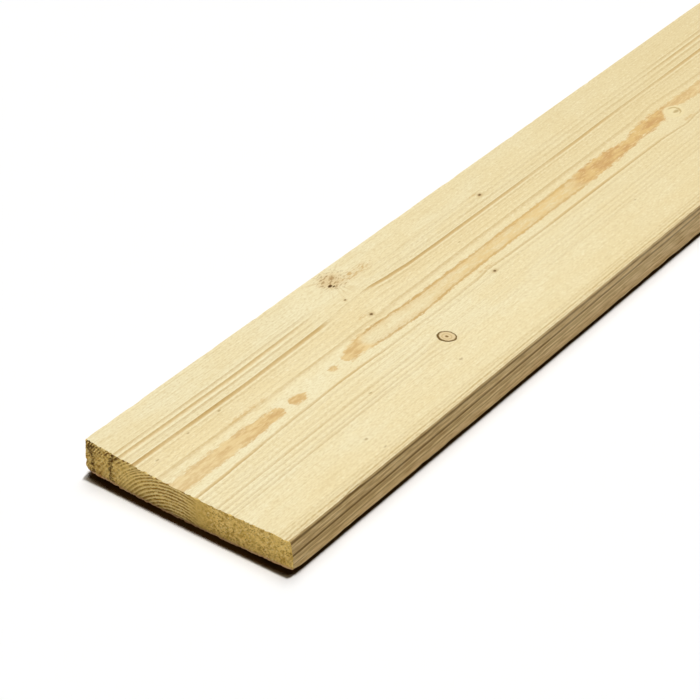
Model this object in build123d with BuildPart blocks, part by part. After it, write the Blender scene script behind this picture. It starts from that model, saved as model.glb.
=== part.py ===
from build123d import *
from math import sqrt
import os

# Flat-sawn softwood plank, one piece of stock, lying with its hollow face up.
# X runs across the width, Y along the length and Z up. The origin is where the crown of the
# underside touches the floor, halfway along the plank. Sizes are in millimetres.

# Stock
length = 1800.0
width = 145.0  # across the hollow face, from arris to arris
thickness = 20.0  # halfway across the width
cup_depth = 3.3  # dip of the hollow face below the line between its arrises
crown_depth = 2.5  # rise of the underside from the crown to under the arrises
taper = 2.4  # how much thicker the board is along the left arris than along the right one

# Sawn edges: how far the foot of each stands out beyond its upper arris
right_lean = 2.4
left_lean = 0.7

# Lower left arris, rounded over along the whole length
round_over_width = 11.0  # in from the left edge, along the underside
round_over_height = 4.3  # up the left edge

# The other arrises are sharp, only just eased
arris_radius = 0.4

# The board dried into a cup: both faces are shallow arcs that open upwards
half_width = width / 2
crown_radius = (half_width**2 + crown_depth**2) / (2 * crown_depth)


def underside_height(across):
    """Height of the crowned underside above the floor at a distance across from the middle."""
    return crown_radius - sqrt(crown_radius**2 - across**2)


def on_underside(across):
    """Point of the section's lower arc at a distance across from the middle."""
    return (across, underside_height(across))


# Corners of the section, seen from the near end
mean_arris_height = thickness + cup_depth
left_arris = (-half_width, mean_arris_height + taper / 2)
right_arris = (half_width, mean_arris_height - taper / 2)
right_foot = on_underside(half_width + right_lean)
left_foot = on_underside(-half_width - left_lean)
round_over_toe = on_underside(-half_width - left_lean + round_over_width)

with BuildPart() as plank:
    with BuildSketch(Plane.XZ.offset(length / 2)) as section:
        with BuildLine():
            hollow_face = ThreePointArc(left_arris, (0, thickness), right_arris)
            right_edge = Line(hollow_face @ 1, right_foot)
            crowned_face = ThreePointArc(right_edge @ 1, (0, 0), round_over_toe)
            whole_left_edge = Line(left_foot, left_arris, mode=Mode.PRIVATE)
            round_over_top = whole_left_edge @ (round_over_height / whole_left_edge.length)
            round_over = Bezier(crowned_face @ 1, left_foot, round_over_top)
            Line(round_over @ 1, hollow_face @ 0)
        make_face()
        upper_arrises = section.vertices().sort_by(Axis.Y)[-2:]
        lower_right_arris = section.vertices().sort_by(Axis.X)[-1:]
        fillet(upper_arrises + lower_right_arris, radius=arris_radius)
    extrude(amount=-length)

plank.part.label = "plank"

os.makedirs("parts", exist_ok=True)
export_step(plank.part, "parts/plank.step")
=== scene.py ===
from math import cos, radians, sin

import bpy
import numpy as np
from mathutils import Matrix, Vector


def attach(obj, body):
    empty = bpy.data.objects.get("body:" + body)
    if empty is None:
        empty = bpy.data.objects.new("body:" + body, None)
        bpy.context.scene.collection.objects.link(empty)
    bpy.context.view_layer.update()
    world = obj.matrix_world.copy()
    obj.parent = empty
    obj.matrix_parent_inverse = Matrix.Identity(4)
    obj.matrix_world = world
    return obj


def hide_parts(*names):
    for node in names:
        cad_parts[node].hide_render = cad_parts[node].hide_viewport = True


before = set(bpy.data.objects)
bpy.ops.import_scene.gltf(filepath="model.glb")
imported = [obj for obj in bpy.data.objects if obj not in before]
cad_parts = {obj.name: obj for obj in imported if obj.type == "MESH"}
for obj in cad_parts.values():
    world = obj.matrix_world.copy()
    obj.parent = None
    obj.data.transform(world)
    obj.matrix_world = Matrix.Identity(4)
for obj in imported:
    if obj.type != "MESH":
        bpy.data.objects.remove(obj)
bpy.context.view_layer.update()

# Flat-sawn softwood plank, lying with its hollow face up. Sizes are in millimetres: X across the
# width, Y along the grain, Z up. "Along" is measured from the near end.
MM = 0.001

# Section, as in the part
length = 1800.0
width = 145.0
thickness = 20.0
cup_depth = 3.3
crown_depth = 2.5
taper = 2.4
right_lean = 2.4
left_lean = 0.7
round_over_width = 11.0
round_over_height = 4.3
arris_ease = 0.4
half_width = width / 2
left_arris_height = thickness + cup_depth + taper / 2
right_arris_height = thickness + cup_depth - taper / 2
crown_radius = (half_width**2 + crown_depth**2) / (2 * crown_depth)

# Centre and radius of the hollow face's arc, which passes through both arrises and the middle
mean_square_height = (left_arris_height**2 + right_arris_height**2) / 2
left_rise = left_arris_height - thickness
hollow_up = (half_width**2 + mean_square_height - thickness**2) / (2 * cup_depth)
hollow_across = (2 * hollow_up * left_rise - half_width**2 - left_arris_height**2 + thickness**2) / width
hollow_radius = np.hypot(hollow_across, hollow_up - thickness)

# Mesh: points across each face, up each edge, along each drawn arc and round each arris, how much they
# crowd towards the arrises, how far in from a side edge an end's inner points still follow that edge, as
# a share of the width, and the angle past which an edge of the mesh looks sharp
face_points = 172
edge_points = 31
arc_points = 601
arris_points = 41
crowding = 0.55
rim_share = 0.16
sharp_angle = radians(28)

# What the mesh keeps at its points for the finishes
kept_names = ("growth", "face_across", "late_start", "late_tone", "figure_inside", "figure_fill",
              "figure_glow", "figure_orange")

# Rows of the mesh along the plank: start, end and step of each stretch
row_stretches = (
    (0, 1.1, 1.1), (1.1, 6.1, 1.25), (6.1, 30.1, 4.0), (30.1, 84.1, 5.0), (84.1, 118.1, 2.5),
    (118.1, 134.1, 5.0), (134.1, 182.1, 2.5), (182.1, 240.1, 3.0), (240.1, 276.1, 6.0), (276.1, 297.1, 3.5),
    (297.1, 345.1, 6.0), (345.1, 363.1, 3.0), (363.1, 399.1, 6.0), (399.1, 549.1, 4.0), (549.1, 684.1, 8.0),
    (684.1, 1790.0, 24.0), (1790.0, 1798.9, 3.0), (1798.9, 1800.0, 1.1),
)

# Growth: the pith runs below the hollow face, and every face cuts the rings round it. The rings' lines
# lie at these places across the hollow face, each with its tone; farther out the rings are even, and
# those inside the first one show on the ends and the underside only
pith_across = -5.0
pith_depth = 47.0
inner_ring = 2.15
outer_ring = 1.5
outer_rings = 40
left_lines = (-12.5, -20.8, -25.4, -29.4, -31.8, -34.2, -38.6, -41.4, -44.2, -48.6, -52.3, -55.2)
left_ring_tones = (0.0, 0.34, 0.12, 0.14, 0.12, 0.28, 0.82, 0.12, 0.42, 0.58, 0.44, 0.1)
right_lines = (2.5, 6.6, 10.4, 14.6, 17.9, 22.4, 26.4, 30.2, 33.2, 36.2, 39.4, 42.4, 45.2)
right_ring_tones = (0.0, 0.58, 0.2, 0.15, 0.17, 0.4, 0.28, 0.29, 0.37, 0.09, 0.06, 0.05, 0.05)

# How far the rings drift sideways along the plank: at the strong left line, the tan line left of
# the figure and the first line right of it; then how those drifts are shared out across the face
left_drift_at = (
    0, 60, 100, 140, 165, 182, 200, 222, 245, 262, 300, 350, 450, 490, 540, 660, 900, 1250, 1500, 1800,
)
left_drift = (
    -0.35, 0.45, 0.85, 0.3, -0.1, -0.85, -2.3, -2.9, -0.9, 0.35, 0.75, 0.95, 0.85, 0.45, 0.75, 0.45, -0.9,
    0.7, -0.4, 0.5,
)
tan_drift_at = (0, 40, 100, 150, 230, 310, 490, 528, 590, 760, 1050, 1400, 1800)
tan_drift = (0.2, 0.4, 1.5, 1.7, 0.0, -0.9, -0.9, -2.2, 0.1, -1.0, 1.2, -0.8, 0.9)
right_drift_at = (
    0, 22, 42, 70, 100, 132, 150, 178, 215, 243, 268, 288, 312, 352, 412, 490, 510, 519, 534, 560, 700, 900,
    1200, 1500, 1800,
)
right_drift = (
    1.5, 1.2, 0.4, -0.9, -1.6, -2.2, -1.9, -0.6, 0.5, 0.3, 0.0, -1.3, -0.6, 0.2, 0.3, 0.7, 1.7, 2.2, -0.3,
    -0.6, 0.6, -1.2, 1.0, -0.8, 0.6,
)
drift_columns = (-75, -38.5, -20, -8, 6, 22, 75)
left_drift_shares = (0.4, 1, 0, 0, 0, 0, 0)
tan_drift_shares = (0, 0, 1, 0, 0, 0, 0)
right_drift_shares = (0, 0, 0, 0, 1, 0.25, 0)

# Figure where the hollow face grazes one ring: its left and right borders across (it stops where
# they cross), how far it is filled, how yellow the wood inside is, and how orange the fill
figure_at = (
    0, 30, 48, 62, 76, 88, 92, 95, 98, 101, 108, 112, 115, 137, 140.5, 144.5, 148, 151, 154, 162, 172, 187,
    205, 225, 240, 255, 290, 350, 390, 408, 420, 450, 462, 476, 486, 500, 514, 521, 526, 535, 545, 570, 600,
    700, 800, 860, 885, 905, 935, 990, 1100, 1200, 1330, 1420, 1450, 1480, 1510, 1560, 1580, 1640, 1670,
    1760, 1800,
)
figure_left = (
    -12.2, -12.4, -12.4, -12, -10.6, -10, -9.6, -3.5, -3.5, -9, -8.8, -7.5, -3, -4.5, -8.8, -8.6, -5.5, -6,
    -10.5, -13.2, -15.2, -15.7, -15, -13.8, -13.2, -13.2, -13.3, -13.6, -13.7, -14, -15.3, -15.4, -13.2,
    -11.5, -14.6, -16.2, -16.6, -16.4, -16, -15.8, -15.8, -15, -14.5, -13.5, -14, -12, -4, -4, -10.5, -13,
    -14, -14.5, -13.5, -12.5, -6, -5, -11, -9, -4, -4, -12, -13.5, -13.8,
)
figure_right = (
    -0.9, -0.7, -0.5, -0.8, -1.2, -1.6, -2, -7.5, -7.5, -2.2, -1.4, -2.6, -7, -9, -4.6, -5, -8.5, -9, -4,
    -2.6, -1.6, -0.4, 0.4, 1, 0.3, -0.8, -1.6, -1.6, -1.2, -1.3, -1.5, -1.8, -2.8, -3.6, -5, -4.2, -5.6,
    -8.5, -11.5, -10, -7.3, -5, -2, -1, -2, -4, -9, -9, -3.5, -1.5, 0, 0, -1.5, -3, -9, -9, -3, -5, -9, -9,
    -2.5, -1, -0.8,
)
fill_at = (0, 45, 80, 171, 177, 396, 412, 522, 530, 556, 600, 770, 800, 985, 1005, 1300, 1345, 1800)
fill_share = (0.72, 0.9, 1, 1, 0, 0, 1, 1, 0.7, 0.75, 0, 0, 1, 1, 0, 0, 1, 1)
glow_at = (0, 178, 232, 300, 396, 415, 1800)
glow_share = (0, 0, 0.25, 0.6, 0.75, 0.2, 0.2)
orange_at = (0, 60, 90, 110, 170, 390, 415, 520, 540, 600, 1300, 1350, 1420, 1800)
orange_share = (0.1, 0.3, 0.5, 0.35, 0.2, 0.4, 0.9, 1.0, 0.5, 0.3, 0.3, 0.8, 0.8, 0.3)

# Knots: across and along the hollow face, half-sizes across and along; a pin knot and a speck have one
# size across, and their length is a share of it. The edge knot has a tail and pits, the pale one a heart
# and a rim that darkens along this stretch from its middle
round_knots = ((26.7, 209.6, 6.2, 5.4), (-36.0, 1012.0, 5.2, 4.6), (41.0, 1394.0, 6.2, 5.4))
edge_knot = (-62.0, 212.0, 7.5, 9.5)
edge_tail = (-56.5, 230.0, 4.2, 15.0)
edge_pits = ((-59.0, 207.5, 1.2, 2.0), (-57.2, 209.0, 0.6, 1.4))
pale_knot = (-6.5, 529.0, 5.8, 7.0)
pale_heart = (-5.3, 530.5, 1.6, 3.2)
pale_rim_stretch = (-2.0, 4.0)
pin_knots = ((-22.8, 201.0, 1.3), (-48.2, 353.4, 1.25), (8.8, 286.8, 1.25), (-43.7, 202.5, 0.7),
             (30.0, 812.0, 1.4), (-52.0, 1133.0, 1.5), (17.0, 1551.0, 1.3))
pin_length_share = 1.35
stains = ((6.0, 529.0, 1.8, 8.0), (-20.4, 77.0, 1.7, 19.0), (-25.2, 195.0, 1.2, 4.0),
          (-51.0, 350.0, 0.9, 4.5), (-15.6, 526.0, 1.0, 10.0), (2.6, 286.0, 1.3, 9.0))
specks = ((49.7, 98.0, 1.0), (63.0, 98.0, 0.8), (47.3, 195.0, 0.9), (24.7, 136.0, 0.7), (-32.8, 69.0, 0.8),
          (-32.8, 42.0, 0.6), (-30.5, 13.0, 0.8), (34.0, 412.0, 0.7), (-27.0, 300.0, 0.6))
speck_length_share = 1.9

# How rings part: round which knots, how strongly, and how far across and along in half-sizes of the knot
pins = tuple((pin_across, pin_along, size, size) for pin_across, pin_along, size in pin_knots)
partings = ((round_knots + (pale_knot,), 0.7, 1.9, 2.4), (pins, 0.5, 2.6, 6))

# How rings waver: by how much, over what lengths across and along, and how far from the pith line it is
# in full; then the same near the underside
waver = 0.035
waver_across = 16
waver_along = 120
waver_full_at = 12
under_waver = 1.5
under_waver_across = 40
under_waver_along = 170
under_waver_over = 8
count_reach = 0.2

# How the rings' tones fade along the plank: round the strong left line and the first line right of the
# figure (middle and spread), left of a border and right of one (place and width), each with places along
# and the shares of the tone that are left there
line_fades = (
    (-38.5, 5, (0, 165, 186, 212, 230, 420, 560, 640, 1800), (1, 0.95, 0.1, 0.1, 0.85, 0.65, 0.65, 0.8, 0.8)),
    (6.5, 3, (0, 150, 195, 285, 340, 420, 1800), (1, 1, 0.6, 0.5, 0.85, 1, 0.9)),
)
border_fades = (
    (-42, -2, (0, 160, 185, 240, 300, 540, 600, 1800), (1, 0.9, 0.1, 0.3, 0.3, 0.4, 0.9, 0.6)),
    (10, 4, (0, 180, 212, 236, 330, 420, 1800), (1, 0.9, 0.35, 0.2, 0.35, 0.45, 0.5)),
)

# Tones of the rings: the share past a line at which the next ring's tone starts, the greatest tone, and
# how tones waver along a ring
ring_turn_share = 0.3
tone_most = 1.2
tone_waver = 0.25
tone_waver_along = 34

# Below this height the rings have an even tone and there is no figure
plain_below = 12
plain_over = 4
plain_tone = 0.5
plain_waver = 0.3
plain_waver_rings = 0.9
plain_waver_along = 300
figure_sink = 60

# Dark lines of the rings: their widths, which rings on the left have broad ones, and the shares of a
# ring between which the dark wood starts; the ends of the figure's fill bow by this much
fine_line = 2.6
broad_line = 4.2
broad_rings = (1, 6)
start_share_least = 0.12
start_share_most = 0.9
fill_bow = 7
fill_least_width = 4
fill_bow_limit = 1.2

# Wear of the arrises, clockwise from the upper left one: depths and random seeds, reach from the arris,
# lengths of the nibbles, and the level below which there is none
worn_depths = (0.32, 0.38, 0.4, 0.15)
worn_seeds = (11, 12, 13, 14)
worn_reach = 0.9
long_nibble = 9
short_nibble = 3.1
nibble_level = 0.25

# Damage on the right: the chip out of the upper arris, the blunted near corner, the broken near foot
chip_depth = 1.7
chip_at = 57
chip_spread = 8
chip_reach = 2.0
blunt_depth = 1.5
blunt_length = 30
blunt_reach_on_face = 6.5
blunt_reach_on_edge = 1.5
blunt_power = 1.5
foot_depth = 0.9
foot_length = 12
foot_reach = 2.4
foot_power = 2

# Torn ends: splinters round the rim, tears (coarser at the left), pits, and a split up the left
splinter_depth = 0.36
splinter_most = 1.05
broad_splinter = 2.3
thin_splinter = 0.9
tear_share = 0.6
left_tear_share = 0.5
left_tear_at = -42
left_tear_over = 8
tear_depth = 0.3
broad_tear = 1.6
thin_tear = (0.9, 1.0)
pit_size = (1.3, 2.4)
pit_level = 0.4
pit_depth = 1.2
split_at = -55
split_spread = 0.7
split_sway = 0.5
split_sway_length = 2
split_from = 5
split_over = 5
split_depth = 0.9


def wander(a, b, seed):
    """Smooth random field from -1 to 1: random numbers at the whole steps of a and b, blended with
    the curve 3t^2 - 2t^3 between neighbours."""
    a, b = np.broadcast_arrays(np.asarray(a, float), np.asarray(b, float))
    ia, ib = np.floor(a), np.floor(b)
    ta, tb = a - ia, b - ib
    ta, tb = ta * ta * (3 - 2 * ta), tb * tb * (3 - 2 * tb)

    def post(i, j):
        """Random number at a whole step: the loose digits of a large multiple of a sine."""
        return np.modf(np.abs(np.sin(i * 12.9898 + j * 78.233 + seed * 37.719)) * 43758.5453)[0] * 2 - 1

    low = post(ia, ib) * (1 - ta) + post(ia + 1, ib) * ta
    high = post(ia, ib + 1) * (1 - ta) + post(ia + 1, ib + 1) * ta
    return low * (1 - tb) + high * tb


def smooth_path(at, stations, values):
    """Value at a place: between two stations it eases from one value to the next by 3t^2 - 2t^3."""
    stations, values = np.asarray(stations, float), np.asarray(values, float)
    i = np.clip(np.searchsorted(stations, at, side="right") - 1, 0, len(stations) - 2)
    t = np.clip((at - stations[i]) / (stations[i + 1] - stations[i]), 0, 1)
    return values[i] + (values[i + 1] - values[i]) * t * t * (3 - 2 * t)


def hill(at, centre, spread):
    """Bell curve: 1 at the centre, falling off as exp(-d^2) with d counted in spreads."""
    return np.exp(-(((at - centre) / spread) ** 2))


def hollow_height(across):
    """Height of the hollow face: the lower side of its arc."""
    return hollow_up - np.sqrt(hollow_radius**2 - (across - hollow_across) ** 2)


def crown_height(across):
    """Height of the crowned underside: the lower side of an arc that touches the floor in the middle."""
    return crown_radius - np.sqrt(crown_radius**2 - across**2)


def bend(start, corner, end, count=arris_points):
    """Quadratic curve from start to end that is drawn towards a corner: (1-t)^2, 2t(1-t), t^2."""
    t = np.linspace(0, 1, count)[:, None]
    return (1 - t) ** 2 * np.asarray(start) + 2 * t * (1 - t) * np.asarray(corner) + t**2 * np.asarray(end)


def along_line(start, end, reach):
    """Point on the straight line from start to end, a given reach from the start."""
    start, end = np.asarray(start, float), np.asarray(end, float)
    return start + (end - start) * reach / np.hypot(*(end - start))


def crowded(t):
    """Shares of a side's length that crowd at both ends: t - c sin(2 pi t) / (2 pi)."""
    return t - crowding * np.sin(2 * np.pi * t) / (2 * np.pi)


def spaced(points, count):
    """A side's points, taken at crowded shares of its arc length."""
    steps = np.hypot(*np.diff(points, axis=0).T)
    run = np.concatenate([[0], np.cumsum(steps)])
    at = run[-1] * crowded(np.linspace(0, 1, count))
    return np.stack([np.interp(at, run, points[:, 0]), np.interp(at, run, points[:, 1])], 1)


def section_sides():
    """The section's four sides, clockwise from the upper left arris as seen from the near end:
    hollow face, right edge, crowned underside, left edge. Each runs from mid-arris to mid-arris."""
    upper_left = (-half_width, left_arris_height)
    upper_right = (half_width, right_arris_height)
    foot_right = half_width + right_lean
    foot_left = -half_width - left_lean
    lower_right = (foot_right, crown_height(foot_right))
    lower_left = (foot_left, crown_height(foot_left))
    toe = foot_left + round_over_width
    face_in = half_width - arris_ease
    across = np.linspace(-face_in, face_in, arc_points)
    face = np.stack([across, hollow_height(across)], 1)
    across = np.linspace(foot_right - arris_ease, toe, arc_points)
    underside = np.stack([across, crown_height(across)], 1)
    arris_1 = bend(face[-1], upper_right, along_line(upper_right, lower_right, arris_ease))
    arris_2 = bend(along_line(lower_right, upper_right, arris_ease), lower_right, underside[0])
    arris_3 = bend(underside[-1], lower_left, along_line(lower_left, upper_left, round_over_height))
    arris_4 = bend(along_line(upper_left, lower_left, arris_ease), upper_left, face[0])
    half = len(arris_1) // 2
    return (
        spaced(np.concatenate([arris_4[half:], face[1:-1], arris_1[: half + 1]]), face_points),
        spaced(np.concatenate([arris_1[half:], arris_2[: half + 1]]), edge_points),
        spaced(np.concatenate([arris_2[half:], underside[1:-1], arris_3[: half + 1]]), face_points),
        spaced(np.concatenate([arris_3[half:], arris_4[: half + 1]]), edge_points),
    )


def rows_along():
    """Distances of the mesh rows from the near end: each stretch between two stations has its own step."""
    runs = []
    for start, end, step in row_stretches:
        count = max(int(round((end - start) / step)), 1)
        runs.append(np.linspace(start, end, count + 1)[:-1])
    return np.concatenate(runs + [[length]])


def ring_count(radius, on_right):
    """Rings counted outwards from the first line on the hollow face: each line adds one at its own
    radius, hypot(across - pith, pith depth), with straight steps between and even rings beyond."""

    def count(lines):
        """The count for one side's lines; inside the first line it goes on downwards in even steps."""
        radii = np.hypot(np.asarray(lines) - pith_across, pith_depth)
        radii = np.concatenate([radii, radii[-1] + outer_ring * np.arange(1, outer_rings)])
        inner = np.minimum(radius - radii[0], 0) / inner_ring
        return inner + np.interp(radius, radii, np.arange(len(radii)))

    return np.where(on_right, count(right_lines), count(left_lines))


def ring_drift(across, along):
    """Sideways drift of the rings: the drifts of three lines, shared out across in straight steps."""
    drift = 0
    for shares, at, values in ((left_drift_shares, left_drift_at, left_drift),
                               (tan_drift_shares, tan_drift_at, tan_drift),
                               (right_drift_shares, right_drift_at, right_drift)):
        drift = drift + np.interp(across, drift_columns, shares) * smooth_path(along, at, values)
    return drift


def place_in_log(x, y, z):
    """Where a point of the plank lies in the log: growth rings counted outwards from the first dark
    ring, the width of a ring as this face cuts it, and the place on the hollow face that lies on the
    same radius. Heights are taken as they were before the board cupped, and rings part round knots."""
    along = y + length / 2
    above = z - hollow_height(np.clip(x, -half_width, half_width)) + pith_depth
    face_across = pith_across + (x - pith_across) * pith_depth / above
    parted = face_across - ring_drift(face_across, along)
    for knots, strength, reach_across, reach_along in partings:
        for knot_across, knot_along, wide, long in knots:
            near = hill(face_across, knot_across, reach_across * wide)
            near = near * hill(along, knot_along, reach_along * long)
            parted = parted - strength * (face_across - knot_across) * near
    on_right = parted > pith_across
    off_pith = (parted - pith_across) * above / pith_depth
    radius = np.hypot(off_pith, above)
    full = np.clip(np.abs(off_pith) / waver_full_at, 0, 1)
    radius = radius + waver * wander(x / waver_across, along / waver_along, seed=3) * full
    low = np.clip((pith_depth - under_waver_over - above) / under_waver_over, 0, 1)
    radius = radius + under_waver * wander(x / under_waver_across, along / under_waver_along, seed=4) * low
    rings_here = ring_count(radius + count_reach, on_right) - ring_count(radius - count_reach, on_right)
    cut_width = 2 * count_reach / rings_here * radius / np.maximum(np.abs(off_pith), 1.0)
    return ring_count(radius, on_right), cut_width, face_across


def figure_of(growth, cut_width, face_across, x, along, z):
    """How the dark wood is drawn: the share of a ring at which it starts and its tone, the distance
    inside the figure's border, how far the figure is filled, how yellow it is inside and how orange."""
    ring = np.clip(np.ceil(growth - ring_turn_share), 0, len(left_ring_tones) - 1).astype(int)
    on_right = face_across > pith_across
    tone = np.where(on_right, np.asarray(right_ring_tones)[ring], np.asarray(left_ring_tones)[ring])
    for middle, spread, at, shares in line_fades:
        tone = tone * (1 + hill(face_across, middle, spread) * (smooth_path(along, at, shares) - 1))
    for border, over, at, shares in border_fades:
        past = np.clip((face_across - border) / over, 0, 1)
        tone = tone * (1 + past * (smooth_path(along, at, shares) - 1))
    tone = tone * (1 + tone_waver * wander(along / tone_waver_along, ring, seed=5))
    below = np.clip((plain_below - z) / plain_over, 0, 1)
    plain = plain_tone + plain_waver * wander(ring * plain_waver_rings, along / plain_waver_along, seed=6)
    tone = tone + below * (plain - tone)
    line_width = np.where(np.isin(ring, broad_rings) & ~on_right, broad_line, fine_line)
    start = np.clip(1 - line_width / cut_width, start_share_least, start_share_most)
    left = smooth_path(along, figure_at, figure_left)
    right = smooth_path(along, figure_at, figure_right)
    inside = np.minimum(x - left, right - x) - figure_sink * below
    off_middle = (x - (left + right) / 2) / np.maximum(right - left, fill_least_width) * 2
    bowed = along - fill_bow * np.clip(off_middle, -fill_bow_limit, fill_bow_limit) ** 2
    fill = smooth_path(bowed, fill_at, fill_share)
    glow = smooth_path(along, glow_at, glow_share)
    orange = smooth_path(along, orange_at, orange_share)
    return start, np.clip(tone, 0, tone_most), inside, fill, glow, orange


def plank_points():
    """The plank's shell and ends: the section carried along the length, row by row, with both ends
    filled by a patch between the four sides. Worn arrises and the saw's roughness only go inwards."""
    loop = np.concatenate([side[:-1] for side in section_sides()])
    n, m = face_points, edge_points
    corners = np.array([0, n - 1, n + m - 2, 2 * n + m - 3])
    step = np.roll(loop, -1, 0) - np.roll(loop, 1, 0)
    inward = np.stack([step[:, 1], -step[:, 0]], 1) / np.hypot(*step.T)[:, None]
    run = np.concatenate([[0], np.cumsum(np.hypot(*(np.roll(loop, -1, 0) - loop).T))])
    around, total = run[:-1], run[-1]
    along = rows_along()
    depth = np.zeros((len(along), len(loop)))
    for seed, corner, worn in zip(worn_seeds, corners, worn_depths):
        off = np.abs((around - around[corner] + total / 2) % total - total / 2)
        bites = wander(along / long_nibble, 0, seed) + 0.5 * wander(along / short_nibble, 0, seed + 20)
        bites = np.clip(bites - nibble_level, 0, 1)
        depth += worn * bites[:, None] * hill(off, 0, worn_reach)[None, :]
    chip_off = np.abs(around - around[corners[1]])
    depth += chip_depth * hill(along, chip_at, chip_spread)[:, None] * hill(chip_off, 0, chip_reach)[None, :]
    on_face = around <= around[corners[1]]
    blunt_off = np.where(on_face, chip_off / blunt_reach_on_face, chip_off / blunt_reach_on_edge)
    blunt = np.clip(1 - along / blunt_length, 0, 1) ** blunt_power
    depth += blunt_depth * blunt[:, None] * hill(blunt_off, 0, 1)[None, :]
    foot_off = np.abs(around - around[corners[2]])
    broken = np.clip(1 - along / foot_length, 0, 1) ** foot_power
    depth += foot_depth * broken[:, None] * hill(foot_off, 0, foot_reach)[None, :]
    rows = np.repeat(along[:, None], len(loop), 1)
    for row, sign, seed in ((0, 1, 31), (-1, -1, 33)):
        splinters = splinter_depth + 0.5 * wander(around / broad_splinter, 0, seed)
        splinters = splinters + 0.4 * wander(around / thin_splinter, 0, seed + 1)
        rows[row] += sign * np.clip(splinters, 0, splinter_most)
    shell = np.stack([loop[None, :, 0] + depth * inward[None, :, 0], rows - length / 2,
                      loop[None, :, 1] + depth * inward[None, :, 1]], -1)

    def end_patch(row, sign, seed):
        """Straight columns from the underside up to the hollow face, at crowded shares of the height;
        near the side edges they take on those edges' own bends. The saw's tears set it back."""
        rim = np.concatenate([shell[row], shell[row][:1]])
        face, right_edge = rim[:n], rim[n - 1 : n + m - 1][::-1]
        under, left_edge = rim[n + m - 2 : 2 * n + m - 2][::-1], rim[2 * n + m - 3 :]
        u = np.linspace(0, 1, n)[:, None, None]
        v = crowded(np.linspace(0, 1, m))[None, :, None]
        patch = under[:, None] + v * (face - under)[:, None]
        left_bend, right_bend = left_edge - patch[0], right_edge - patch[-1]
        patch = patch + np.clip(1 - u / rim_share, 0, 1) ** 2 * left_bend[None]
        patch = patch + np.clip(1 - (1 - u) / rim_share, 0, 1) ** 2 * right_bend[None]
        x, z = patch[..., 0], patch[..., 2]
        coarse = tear_share + left_tear_share * np.clip((left_tear_at - x) / left_tear_over, 0, 1)
        torn = tear_depth + 0.35 * wander(x / broad_tear, z / broad_tear, seed)
        torn = torn + 0.3 * wander(x / thin_tear[0], z / thin_tear[1], seed + 5)
        pits = np.clip(wander(x / pit_size[0], z / pit_size[1], seed + 9) - pit_level, 0, 1)
        swayed = x + split_sway * wander(z / split_sway_length, 0, seed + 11)
        split = hill(swayed, split_at, split_spread) * np.clip((z - split_from) / split_over, 0, 1)
        set_back = np.clip(coarse * torn, 0, 1) + pit_depth * coarse * pits + split_depth * split
        patch[..., 1] = sign * set_back - sign * length / 2
        return patch

    return shell, end_patch(0, 1, 41), end_patch(-1, -1, 42)


def plank_mesh():
    """Numbers the shell's points row by row and the ends' inner points after them, and joins them into
    four-sided faces that look outwards. An end's outer points are the shell's own, so no seam is open."""
    shell, near, far = plank_points()
    rows, loop = shell.shape[:2]
    n, m = face_points, edge_points
    ids = np.arange(rows * loop).reshape(rows, loop)
    ahead = np.roll(ids, -1, 1)
    walls = np.stack([ids[:-1], ahead[:-1], ahead[1:], ids[1:]], -1).reshape(-1, 4)
    a, b = np.meshgrid(np.arange(n), np.arange(m), indexing="ij")
    rim = np.where(b == m - 1, a, np.where(a == n - 1, n - 1 + m - 1 - b,
                   np.where(b == 0, n - 1 + m - 1 + n - 1 - a, (2 * (n - 1) + m - 1 + b) % loop)))
    inside = (a > 0) & (a < n - 1) & (b > 0) & (b < m - 1)
    points, faces, first = [shell.reshape(-1, 3)], [walls], rows * loop
    for patch, row, order in ((near, 0, (0, 1, 2, 3)), (far, rows - 1, (0, 3, 2, 1))):
        number = row * loop + rim
        number[inside] = first + np.arange(inside.sum())
        first += inside.sum()
        points.append(patch[inside])
        quads = np.stack([number[:-1, :-1], number[1:, :-1], number[1:, 1:], number[:-1, 1:]], -1)
        faces.append(quads.reshape(-1, 4)[:, order])
    side_of = np.concatenate([np.zeros(n - 1), np.ones(m - 1), np.zeros(n - 1), np.ones(m - 1)]).astype(int)
    kinds = np.concatenate([np.tile(side_of, rows - 1), np.full(len(faces[1]) + len(faces[2]), 2)])
    return np.concatenate(points), np.concatenate(faces), kinds


def make_plank(finishes):
    """Puts the plank's points and faces into a mesh, with the log's growth and figure kept at every point."""
    points, faces, kinds = plank_mesh()
    mesh = bpy.data.meshes.new("plank_timber")
    mesh.vertices.add(len(points))
    mesh.vertices.foreach_set("co", (points * MM).astype(np.float32).ravel())
    mesh.loops.add(faces.size)
    mesh.loops.foreach_set("vertex_index", faces.astype(np.int32).ravel())
    mesh.polygons.add(len(faces))
    mesh.polygons.foreach_set("loop_start", np.arange(0, faces.size, 4, dtype=np.int32))
    mesh.polygons.foreach_set("material_index", kinds.astype(np.int32))
    mesh.polygons.foreach_set("use_smooth", np.ones(len(faces), bool))
    mesh.update(calc_edges=True)
    mesh.validate()
    mesh.set_sharp_from_angle(angle=sharp_angle)
    x, y, z = points.T
    growth, cut_width, face_across = place_in_log(x, y, z)
    figure = figure_of(growth, cut_width, face_across, x, y + length / 2, z)
    for name, values in zip(kept_names, (growth, face_across, *figure)):
        mesh.attributes.new(name, "FLOAT", "POINT").data.foreach_set("value", values.astype(np.float32))
    for finish in finishes:
        mesh.materials.append(finish)
    plank = bpy.data.objects.new("plank_timber", mesh)
    bpy.context.scene.collection.objects.link(plank)
    return plank


def paint(red, green, blue):
    """A colour read off a screen, 0 to 255, as the linear values a shader takes: the sRGB curve."""
    s = np.array((red, green, blue)) / 255
    linear = np.where(s <= 0.04045, s / 12.92, ((s + 0.055) / 1.055) ** 2.4)
    return (*linear.tolist(), 1.0)


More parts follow.
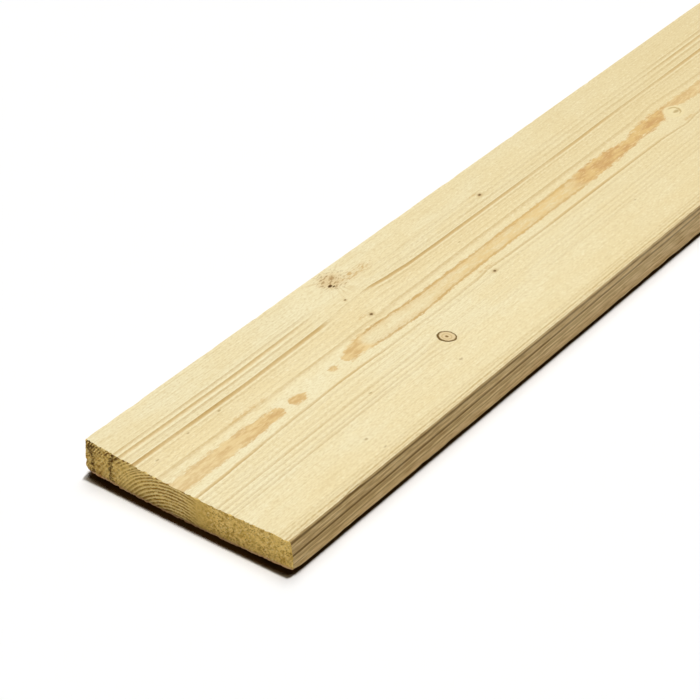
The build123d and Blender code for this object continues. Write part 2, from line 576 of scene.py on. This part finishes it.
# Bare wood: its sheen, the relief of planed and of sawn wood, the roughness of an end, and the share of
# a ring over which its dark line ends
wood_sheen = 0.08
planed_relief = 0.16
sawn_relief = 0.35
end_roughness = 0.85
ring_end_share = 0.15

# Planed faces: where the warm band, the warm strip at the right and the painted shade that darkens the face
# farther from the near end start and are full, and the lines beside the right arris with their strengths
warm_band_across = -26.0
warm_band_reach = (17, 5)
right_strip = (44, 56)
painted_far_shade_stretch = (80, 640)
side_lines = ((64.5, 0.22), (66.6, 0.28), (69.3, 0.6), (71.3, 0.35))
side_line_reach = (1.1, 0.15)
side_line_sway = 0.8

# Figure: how ragged its border is, where it starts and is full, how it fades inwards, its crisp line
figure_rag = 3.0
figure_tooth = 2.0
figure_edge = (-1.4, 1.5)
figure_fade_from = 1.0
figure_fade_length = 3.2
figure_line_at = 0.7
figure_line_reach = (1.3, 0.3)

# Sawn edges: how lines climb for each millimetre along, where they are strongest and where the wood
# pales, the warm foot, and the two dark bands
edge_climb = -0.0104
edge_near = (400, 0)
edge_pale_stretch = (60, 420)
edge_foot_heights = (8.0, 3.0)
edge_band_sway = 0.3
upper_band = 19.8
upper_band_reach = (1.1, 0.3)
middle_band = 12.2
middle_band_reach = (0.95, 0.25)

# Sawn ends: the smooth patch, the calm strip, where the ring arcs start and end, the dark arcs under the
# upper left arris, the two dark columns and the pale rim along the foot
smooth_across = 7.0
smooth_reach = (11.0, 3.0)
calm_across = -38.0
calm_reach = (6.0, 16.0)
arcs_from = (-55, -25)
arcs_to = (11, 1)
upper_arc_heights = (15.5, 20.5)
upper_arcs_to = (-34, -44)
column_sway = 4.0
column_lean = -1.8
column_lean_heights = (15.0, 24.0)
inner_column = -54.6
inner_column_reach = (2.4, 0.6)
outer_column = -69.0
outer_column_reach = (3.6, 1.0)
rim_heights = (1.8, 0.7)


class Nodes:
    """A node tree, empty at first. Each call adds one node or a few and gives back the result."""

    def __init__(self, owner):
        """Clears the tree of a material or a world."""
        owner.use_nodes = True
        self.tree = owner.node_tree
        self.tree.nodes.clear()

    def add(self, kind, inputs=None, out=0, **settings):
        """One node: inputs that are results of other nodes are linked, and plain values are set."""
        node = self.tree.nodes.new(kind)
        for key, value in settings.items():
            setattr(node, key, value)
        for key, value in (inputs or {}).items():
            if isinstance(value, bpy.types.NodeSocket):
                self.tree.links.new(value, node.inputs[key])
            else:
                node.inputs[key].default_value = value
        return node.outputs[out] if node.outputs else None

    def math(self, operation, a, b=0.0, c=0.0, clamp=False):
        """A sum on up to three numbers."""
        return self.add("ShaderNodeMath", {0: a, 1: b, 2: c}, operation=operation, use_clamp=clamp)

    def plus(self, a, b):
        """a plus b."""
        return self.math("ADD", a, b)

    def minus(self, a, b):
        """a less b."""
        return self.math("SUBTRACT", a, b)

    def times(self, a, b):
        """a times b."""
        return self.math("MULTIPLY", a, b)

    def off(self, value, middle):
        """How far a value lies from a middle, either way: the size of value less middle."""
        return self.math("ABSOLUTE", self.minus(value, middle))

    def ease(self, value, low, high, top=1.0, base=0.0):
        """Goes from base to top as the value goes from low to high, by the curve 3t^2 - 2t^3."""
        inputs = {"Value": value, "From Min": low, "From Max": high, "To Min": base, "To Max": top}
        return self.add("ShaderNodeMapRange", inputs, interpolation_type="SMOOTHSTEP")

    def band(self, value, middle, reach, top=1.0):
        """Strongest near a middle: eases from nothing to top between the two distances of its reach."""
        return self.ease(self.off(value, middle), *reach, top)

    def mix(self, share, a, b):
        """Colour a with a share of colour b: (1 - share) a + share b."""
        return self.add("ShaderNodeMix", {0: share, 6: a, 7: b}, out=2, data_type="RGBA")


class Finish(Nodes):
    """A wood finish: a colour that others are laid over, on a place known in millimetres."""

    def __init__(self, name):
        """Place on the plank: object coordinates over a millimetre, with along from the near end."""
        self.material = bpy.data.materials.new(name)
        super().__init__(self.material)
        place = self.add("ShaderNodeTexCoord", out="Object")
        self.place = self.vector("MULTIPLY", place, (1 / MM, 1 / MM, 1 / MM))
        self.across, self.along, self.height = self.split(self.place)
        self.along = self.plus(self.along, length / 2)

    def lay(self, share, tint):
        """Lays a share of a tint over the colour so far."""
        self.colour = self.mix(share, self.colour, tint)

    def vector(self, operation, a, b=(0, 0, 0), out=0):
        """A sum on two vectors."""
        return self.add("ShaderNodeVectorMath", {0: a, 1: b}, out=out, operation=operation)

    def split(self, vector):
        """A vector's three numbers."""
        node = self.add("ShaderNodeSeparateXYZ", {0: vector}).node
        return node.outputs[0], node.outputs[1], node.outputs[2]

    def join(self, x, y, z=0.0):
        """A vector from three numbers."""
        return self.add("ShaderNodeCombineXYZ", {0: x, 1: y, 2: z})

    def kept(self, name):
        """A number kept at the mesh's points."""
        return self.add("ShaderNodeAttribute", out="Fac", attribute_name=name)

    def noise(self, stretch, detail=2.0, roughness=0.5, at=None):
        """Cloudy noise whose grains have these sizes in millimetres across, along and up."""
        grain = self.vector("MULTIPLY", at or self.place, tuple(1 / s for s in stretch))
        inputs = {"Vector": grain, "Scale": 1.0, "Detail": detail, "Roughness": roughness}
        return self.add("ShaderNodeTexNoise", inputs)

    def sway(self, value, reach):
        """Noise, which lies about a half, turned into a shift either way: reach times (2 value - 1)."""
        return self.math("MULTIPLY_ADD", value, 2 * reach, -reach)

    def reach(self, across, centre_across, centre_along, wide, long):
        """Distance from a place on the hollow face, counted in half-sizes of an ellipse."""
        aside = self.math("MULTIPLY_ADD", across, 1 / wide, -centre_across / wide)
        ahead = self.math("MULTIPLY_ADD", self.along, 1 / long, -centre_along / long)
        return self.vector("LENGTH", self.join(aside, ahead), out="Value")

    def finish(self, roughness, height, relief):
        """The wood's surface: its colour, its roughness, and a bump of this relief in millimetres."""
        bump = self.add("ShaderNodeBump", {"Strength": 1.0, "Distance": relief * MM, "Height": height})
        look = {"Base Color": self.colour, "Roughness": roughness, "Normal": bump}
        wood = self.add("ShaderNodeBsdfPrincipled", {**look, "Specular IOR Level": wood_sheen})
        self.add("ShaderNodeOutputMaterial", {"Surface": wood})
        return self.material


def ring_darkness(wood, ragged, start, full):
    """Darkness of the growth rings at a point: within each ring it rises smoothly from the share where
    the dark wood starts to the share where it is full, and soon ends past the ring's outer side."""
    fray = wood.noise((1.1, 9.0, 1.1), detail=3.0, roughness=0.6)
    growth = wood.plus(wood.kept("growth"), wood.sway(fray, ragged))
    share = wood.math("FRACT", growth)
    return wood.math("MAXIMUM", wood.ease(share, start, full), wood.ease(share, ring_end_share, 0.0))


def add_figure(wood, fibres):
    """Lays the tan figure over the wood: filled inside its ragged border, or only shaded from the border
    inwards, where it fades as exp(-distance)."""
    lay, mix, ease, times = wood.lay, wood.mix, wood.ease, wood.times
    fill = wood.kept("figure_fill")
    unfilled = wood.minus(1.0, fill)
    glow = wood.kept("figure_glow")
    rags = wood.sway(wood.noise((1.6, 6.0, 1.6)), figure_rag)
    teeth = wood.sway(wood.noise((1.0, 2.4, 1.0), detail=1.0), figure_tooth)
    ragged = times(wood.plus(rags, teeth), ease(fill, 0.0, 1.0, 1.0, 0.45))
    inside = wood.plus(wood.kept("figure_inside"), ragged)
    mask = ease(inside, *figure_edge)
    patches = wood.noise((3.0, 13.0, 3.0), detail=3.0, roughness=0.6)
    deep = ease(patches, 0.38, 0.62)
    tan = mix(deep, paint(234, 209, 154), paint(216, 183, 124))
    rust = mix(deep, paint(222, 188, 124), paint(204, 162, 104))
    tan = mix(wood.kept("figure_orange"), tan, rust)
    tan = mix(ease(fibres, 0.5, 0.8, 0.35), tan, paint(204, 166, 106))
    notches = wood.noise((1.2, 5.0, 1.2), roughness=0.6)
    tan = mix(ease(notches, 0.52, 0.72, 0.55), tan, paint(238, 214, 162))
    past_border = wood.math("MAXIMUM", wood.minus(inside, figure_fade_from), 0.0)
    fade = wood.math("EXPONENT", times(past_border, -1 / figure_fade_length))
    line = ease(glow, 0.0, 0.5, 1.0, 0.85)
    shaded = times(times(times(mask, fade), line), unfilled)
    shaded = times(shaded, ease(patches, 0.3, 0.6, 1.0, 0.65))
    lay(times(shaded, 0.62), paint(208, 172, 110))
    crisp = wood.band(inside, figure_line_at, figure_line_reach, 0.8)
    crisp = times(times(crisp, unfilled), ease(patches, 0.3, 0.6, 1.0, 0.6))
    lay(crisp, paint(192, 152, 88))
    yellow = times(times(mask, glow), ease(patches, 0.32, 0.66, 0.95, 0.25))
    lay(yellow, paint(229, 196, 130))
    lay(times(mask, fill), tan)


def add_knots(wood, face_across):
    """Lays the knots over the wood. Each is drawn by its distance from a place on the hollow face, seen
    along the radius of the log."""
    lay, mix, ease, times = wood.lay, wood.mix, wood.ease, wood.times
    rag = wood.sway(wood.noise((2.2, 2.2, 2.2), detail=3.0), 1.0)
    mottle = wood.noise((2.4, 3.4, 2.4), detail=3.0, roughness=0.6)
    streaks = wood.noise((1.1, 4.0, 1.1), roughness=0.6)

    def frayed(knot, share):
        """Distance from a knot in its half-sizes, frayed by a share of the ragged noise."""
        return wood.plus(wood.reach(face_across, *knot), times(rag, share))

    for knot in round_knots:
        knot_along, long = knot[1], knot[3]
        reach = frayed(knot, 0.1)
        heart = mix(ease(reach, 0.1, 0.24), paint(136, 106, 58), paint(226, 203, 156))
        heart = mix(ease(wood.off(reach, 0.5), 0.12, 0.03, 0.6), heart, paint(200, 170, 116))
        thick = ease(wood.minus(wood.along, knot_along), -long, long, 0.82, 0.7)
        heart = mix(ease(reach, thick, wood.plus(thick, 0.14)), heart, paint(108, 82, 34))
        lay(ease(reach, 1.08, 0.98), heart)

    knot_across, knot_along = edge_knot[:2]
    turn = wood.math("ARCTAN2", wood.minus(face_across, knot_across), wood.minus(wood.along, knot_along))
    plain = wood.reach(face_across, *edge_knot)
    fan = wood.join(times(turn, 7.0), times(plain, 0.8))
    rays = wood.add("ShaderNodeTexNoise", {"Vector": fan, "Scale": 1.0, "Detail": 2.0})
    halo = times(ease(plain, 0.9, 1.2), ease(plain, 2.6, 1.5))
    lay(times(halo, 0.35), paint(243, 231, 190))
    lay(times(halo, ease(rays, 0.5, 0.66, 0.4)), paint(206, 176, 118))
    reach = frayed(edge_knot, 0.55)
    lay(ease(reach, 1.4, 0.4, 0.7), paint(220, 193, 142))
    streaked = times(ease(reach, 1.6, 0.6), ease(streaks, 0.48, 0.64, 0.8))
    lay(streaked, paint(164, 128, 78))
    reach = frayed(edge_tail, 0.6)
    streaked = times(ease(reach, 1.3, 0.3), ease(streaks, 0.42, 0.62, 0.85, 0.1))
    lay(streaked, paint(206, 170, 110))
    for pit in edge_pits:
        lay(ease(frayed(pit, 0.4), 1.15, 0.5), paint(84, 58, 22))

    reach = frayed(pale_knot, 0.18)
    far_side = ease(wood.minus(wood.along, pale_knot[1]), *pale_rim_stretch, 0.75, 0.1)
    rim = ease(wood.off(reach, 0.8), 0.2, 0.03)
    pale = mix(times(rim, far_side), paint(236, 220, 172), paint(190, 160, 100))
    pale = mix(ease(frayed(pale_heart, 0.8), 1.3, 0.3, 0.7), pale, paint(176, 148, 92))
    lay(ease(reach, 1.4, 1.05, 0.9), paint(236, 219, 170))
    lay(ease(reach, 1.1, 0.95), pale)

    for knot_across, knot_along, wide in pin_knots:
        reach = frayed((knot_across, knot_along, wide, pin_length_share * wide), 0.5)
        lay(ease(reach, 2.4, 0.8, 0.45), paint(190, 156, 96))
        lay(ease(reach, 1.1, 0.3, 0.92), paint(100, 70, 26))
    for stain in stains:
        blot = times(ease(frayed(stain, 0.8), 1.3, 0.3), ease(mottle, 0.36, 0.58, 0.5, 0.1))
        lay(blot, paint(206, 166, 100))
    for speck_across, speck_along, size in specks:
        reach = frayed((speck_across, speck_along, size, speck_length_share * size), 0.9)
        lay(ease(reach, 1.2, 0.4, 0.55), paint(160, 130, 78))


def planed_face():
    """Planed faces: pale wood with faint warm clouds and fibres, thin dark rings that are pale outside
    and warm inside, the tan figure along the middle, and knots. Each is mixed over the last by its share."""
    wood = Finish("planed_pale_softwood")
    lay, mix, ease, times = wood.lay, wood.mix, wood.ease, wood.times
    face_across = wood.kept("face_across")
    late_tone = wood.kept("late_tone")
    dark = ring_darkness(wood, 0.05, wood.kept("late_start"), 0.94)
    clouds = wood.noise((14.0, 45.0, 14.0), detail=3.0)
    mottle = wood.noise((0.8, 2.6, 0.8), roughness=0.6)
    fibres = wood.noise((1.1, 34.0, 1.1), detail=3.0, roughness=0.65)
    wood.colour = mix(ease(clouds, 0.34, 0.68), paint(241, 230, 190), paint(239, 224, 179))
    warm_band = wood.band(face_across, warm_band_across, warm_band_reach, 0.36)
    lay(warm_band, paint(238, 215, 160))
    lay(ease(wood.across, *right_strip, 0.4), paint(235, 216, 166))
    # Painted shade: the face grows darker farther from the near end, standing in for light that falls off
    # along the plank
    lay(ease(wood.along, *painted_far_shade_stretch, 0.75), paint(229, 210, 160))
    lay(ease(mottle, 0.46, 0.75, 0.65), paint(219, 198, 149))
    lay(ease(mottle, 0.46, 0.25, 0.65), paint(250, 241, 208))
    lay(ease(fibres, 0.46, 0.78, 0.6), paint(222, 200, 148))
    late = mix(ease(mottle, 0.3, 0.7), paint(194, 160, 98), paint(180, 145, 84))
    shade = wood.math("MULTIPLY", dark, late_tone, clamp=True)
    past = wood.math("FRACT", wood.kept("growth"))
    early = times(ease(past, 0.08, 0.2), ease(past, 0.5, 0.25))
    early = times(early, ease(late_tone, 0.15, 0.8, 0.5))
    lay(early, paint(249, 239, 202))
    warm_side = times(ease(past, 0.3, 0.55), ease(late_tone, 0.4, 0.8, 0.75))
    lay(warm_side, paint(230, 203, 146))
    lay(shade, late)
    wavy = wood.plus(wood.across, wood.sway(wood.noise((20.0, 90.0, 20.0)), side_line_sway))
    uneven = ease(mottle, 0.3, 0.6, 1.0, 0.6)
    for line_across, share in side_lines:
        line = wood.band(wavy, line_across, side_line_reach, share)
        lay(times(line, uneven), paint(186, 152, 92))
    add_figure(wood, fibres)
    add_knots(wood, face_across)
    rough = ease(fibres, 0.2, 0.8, 0.7, 0.56)
    height = wood.plus(wood.plus(times(fibres, 0.6), times(mottle, 0.4)), times(dark, 0.3))
    return wood.finish(rough, height, planed_relief)


def sawn_edge():
    """Sawn edges: straight fine lines of the rings along the plank, with darker bands under the upper
    arris and halfway down. Lines and the middle band climb slowly: height plus climb times along."""
    wood = Finish("sawn_edge_softwood")
    lay, mix, ease, times = wood.lay, wood.mix, wood.ease, wood.times
    climb = wood.math("MULTIPLY_ADD", wood.along, edge_climb, wood.height)
    level = wood.join(wood.across, wood.along, climb)
    lines = wood.noise((40.0, 900.0, 0.8), roughness=0.7, at=level)
    fibres = wood.noise((1.0, 14.0, 0.75), detail=3.0, roughness=0.65)
    clouds = wood.noise((9.0, 40.0, 5.0))
    near = ease(wood.along, *edge_near, 1.0, 0.65)
    wood.colour = mix(ease(clouds, 0.3, 0.7), paint(226, 197, 137), paint(216, 186, 128))
    lay(ease(wood.along, *edge_pale_stretch, 0.7), paint(230, 203, 152))
    lay(ease(climb, *edge_foot_heights, 0.4), paint(220, 184, 130))
    lay(times(ease(lines, 0.47, 0.62), times(near, 0.75)), paint(150, 114, 64))
    lay(times(ease(lines, 0.43, 0.32), times(near, 0.6)), paint(246, 220, 168))
    lay(ease(fibres, 0.46, 0.7, 0.8), paint(166, 130, 76))
    lay(ease(fibres, 0.44, 0.26, 0.7), paint(248, 224, 172))
    wavy = wood.sway(wood.noise((9.0, 60.0, 9.0)), edge_band_sway)
    upper = wood.band(wood.plus(wood.height, wavy), upper_band, upper_band_reach, 0.8)
    middle = wood.band(wood.plus(climb, wavy), middle_band, middle_band_reach, 0.85)
    bands = times(wood.math("MAXIMUM", upper, middle), near)
    lay(bands, paint(98, 68, 24))
    rough = ease(fibres, 0.2, 0.8, 0.8, 0.65)
    return wood.finish(rough, wood.plus(fibres, lines), sawn_relief)


def sawn_end():
    """Sawn ends: olive end grain with ring arcs left of the middle, torn by the saw into dark and bright
    flecks, with two dark columns at the left, a smooth patch right of the arcs and a pale rim at the foot,
    which follows the crown: height less across squared over twice the crown's radius."""
    wood = Finish("sawn_end_grain")
    lay, mix, ease, times = wood.lay, wood.mix, wood.ease, wood.times
    dark = ring_darkness(wood, 0.22, 0.3, 0.85)
    raked = wood.join(wood.minus(wood.across, wood.height), wood.along, wood.plus(wood.across, wood.height))
    flecks = wood.noise((1.3, 1.1, 2.4), roughness=0.6, at=raked)
    grains = wood.noise((2.3, 2.3, 2.0), roughness=0.6)
    clouds = wood.noise((10.0, 10.0, 8.0))
    clumps = wood.noise((6.5, 6.5, 4.5))
    dashes = wood.noise((3.4, 3.4, 2.2), roughness=0.6)
    smooth = wood.band(wood.across, smooth_across, smooth_reach)
    torn = times(wood.minus(1.0, times(smooth, 0.6)), ease(clumps, 0.3, 0.62, 1.0, 0.7))
    torn = times(torn, ease(wood.off(wood.across, calm_across), *calm_reach, 1.0, 0.4))
    wood.colour = mix(ease(clouds, 0.3, 0.7), paint(248, 215, 128), paint(236, 201, 111))
    lay(times(ease(grains, 0.58, 0.36), times(torn, 0.8)), paint(184, 142, 58))
    lay(times(ease(flecks, 0.46, 0.3), times(torn, 0.75)), paint(118, 82, 18))
    lay(times(ease(flecks, 0.55, 0.7), times(torn, 0.55)), paint(255, 243, 188))
    ringed = times(ease(wood.across, *arcs_from, 1.0, 0.3), ease(wood.across, *arcs_to))
    lay(times(ease(dark, 0.6, 0.1), times(ringed, 0.5)), paint(255, 238, 172))
    arcs = times(dark, times(ringed, ease(dashes, 0.36, 0.54, 1.0, 0.25)))
    lay(times(arcs, 0.8), paint(138, 92, 26))
    lay(times(smooth, 0.3), paint(196, 164, 82))
    upper = times(ease(wood.height, *upper_arc_heights), ease(wood.across, *upper_arcs_to))
    upper = times(times(upper, dark), ease(dashes, 0.4, 0.55))
    lay(upper, paint(104, 66, 20))
    swayed = wood.sway(wood.noise((4.0, 4.0, 3.0), detail=3.0, roughness=0.65), column_sway)
    swayed = wood.plus(wood.across, swayed)
    leaning = wood.plus(swayed, ease(wood.height, *column_lean_heights, column_lean))
    inner = wood.band(leaning, inner_column, inner_column_reach, 0.9)
    outer = wood.band(swayed, outer_column, outer_column_reach, 0.95)
    broken = times(ease(dashes, 0.64, 0.46), ease(flecks, 0.66, 0.46, 1.0, 0.45))
    lay(times(wood.math("MAXIMUM", inner, outer), broken), paint(86, 56, 14))
    crown = times(times(wood.across, wood.across), 1 / (2 * crown_radius))
    rim = ease(wood.minus(wood.height, crown), *rim_heights, 0.9)
    lay(rim, paint(244, 200, 152))
    return wood.finish(end_roughness, wood.plus(flecks, grains), sawn_relief)


plank = make_plank((planed_face(), sawn_edge(), sawn_end()))
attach(plank, "root")
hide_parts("plank")

# Floor: plain white paper, which darkens to brown right beside the wood. The contact shade looks for wood
# within its reach, leaning to the back, where the lamps stand, so the strip is widest in front. It is full
# where less than the first share of the look-out is open, and gone past the second
floor_reach = 8.0
paper_white = (0.96, 0.96, 0.96, 1)
paper_roughness = 0.9
contact_brown = (0.09, 0.048, 0.018, 1)
contact_reach = 8.0
contact_lean = radians(50)
contact_samples = 16
contact_full_share = 0.68
contact_gone_share = 0.78
floor_mesh = bpy.data.meshes.new("floor")
floor_mesh.from_pydata([(-floor_reach, -floor_reach, 0), (floor_reach, -floor_reach, 0),
                        (floor_reach, floor_reach, 0), (-floor_reach, floor_reach, 0)], [], [(0, 1, 2, 3)])
floor = bpy.data.objects.new("floor", floor_mesh)
bpy.context.scene.collection.objects.link(floor)
paper = bpy.data.materials.new("white_paper_floor")
floor_mesh.materials.append(paper)
sheet = Nodes(paper)
lean = sheet.add("ShaderNodeNormal")
lean.default_value = (0, sin(contact_lean), cos(contact_lean))
look_out = {"Distance": contact_reach * MM, "Normal": lean}
contact = sheet.add("ShaderNodeAmbientOcclusion", look_out, out="AO", samples=contact_samples)
shade = sheet.mix(sheet.ease(contact, contact_full_share, contact_gone_share), contact_brown, paper_white)
paper_look = {"Base Color": shade, "Roughness": paper_roughness, "Specular IOR Level": 0.0}
sheet.add("ShaderNodeOutputMaterial", {"Surface": sheet.add("ShaderNodeBsdfPrincipled", paper_look)})

# Light: a lamp overhead, a little behind and to the left, with a wide soft one farther back, and a low
# warm one in front for the sides that they leave in shade. Each has its direction, its spread in degrees,
# its tint and its share of the light on white paper; the room itself is dim
room_share = 0.02
lamp_least_rise = 0.7
lamps = (("overhead_lamp", (-0.04, 0.23, 1.0), 4, (1, 1, 1), 0.62),
         ("overhead_softbox", (-0.26, 0.42, 1.0), 30, (1, 1, 1), 0.385),
         ("low_front_lamp", (0.26, -0.96, 0.22), 40, (1.0, 0.86, 0.66), 0.075))
for lamp_name, lamp_towards, lamp_spread, lamp_tint, lamp_share in lamps:
    towards = Vector(lamp_towards).normalized()
    lamp = bpy.data.lights.new(lamp_name, "SUN")
    lamp.energy = np.pi * lamp_share / max(towards.z, lamp_least_rise)
    lamp.angle = radians(lamp_spread)
    lamp.color = lamp_tint
    lamp_object = bpy.data.objects.new(lamp_name, lamp)
    lamp_object.rotation_euler = towards.to_track_quat("Z", "Y").to_euler()
    bpy.context.scene.collection.objects.link(lamp_object)

# Room: white where it is seen directly, mirrored or looked through, and dim as a light
room = bpy.data.worlds.new("pale_room")
bpy.context.scene.world = room
sky = Nodes(room)
rays = sky.add("ShaderNodeLightPath").node.outputs
seen = sky.math("MAXIMUM", rays["Is Camera Ray"], rays["Is Glossy Ray"])
seen = sky.math("MAXIMUM", seen, rays["Is Transmission Ray"])
level = sky.add("ShaderNodeMapRange", {"Value": seen, "To Min": room_share})
light = sky.add("ShaderNodeBackground", {"Color": (1, 1, 1, 1), "Strength": level})
sky.add("ShaderNodeOutputWorld", {"Surface": light})

# Camera: fitted to the straight arrises of the plank
camera_at = Vector((689.98, -1668.92, 824.25)) * MM
camera_lens = 123.528
camera_sensor = 36.0
camera_clip = 0.01
camera_up = radians(34.5833)
camera_round = radians(36.9228)
back = Vector((sin(camera_round) * cos(camera_up), -cos(camera_round) * cos(camera_up), sin(camera_up)))
right_hand = Vector((cos(camera_round), sin(camera_round), 0))
overhead = back.cross(right_hand)
camera_data = bpy.data.cameras.new("camera")
camera_data.lens = camera_lens
camera_data.sensor_width = camera_sensor
camera_data.clip_start = camera_clip
camera = bpy.data.objects.new("camera", camera_data)
turn = Matrix((right_hand, overhead, back)).transposed().to_4x4()
camera.matrix_world = Matrix.Translation(camera_at) @ turn
bpy.context.scene.collection.objects.link(camera)
bpy.context.scene.camera = camera
bpy.context.scene.view_settings.view_transform = "Standard"

bpy.context.view_layer.update()
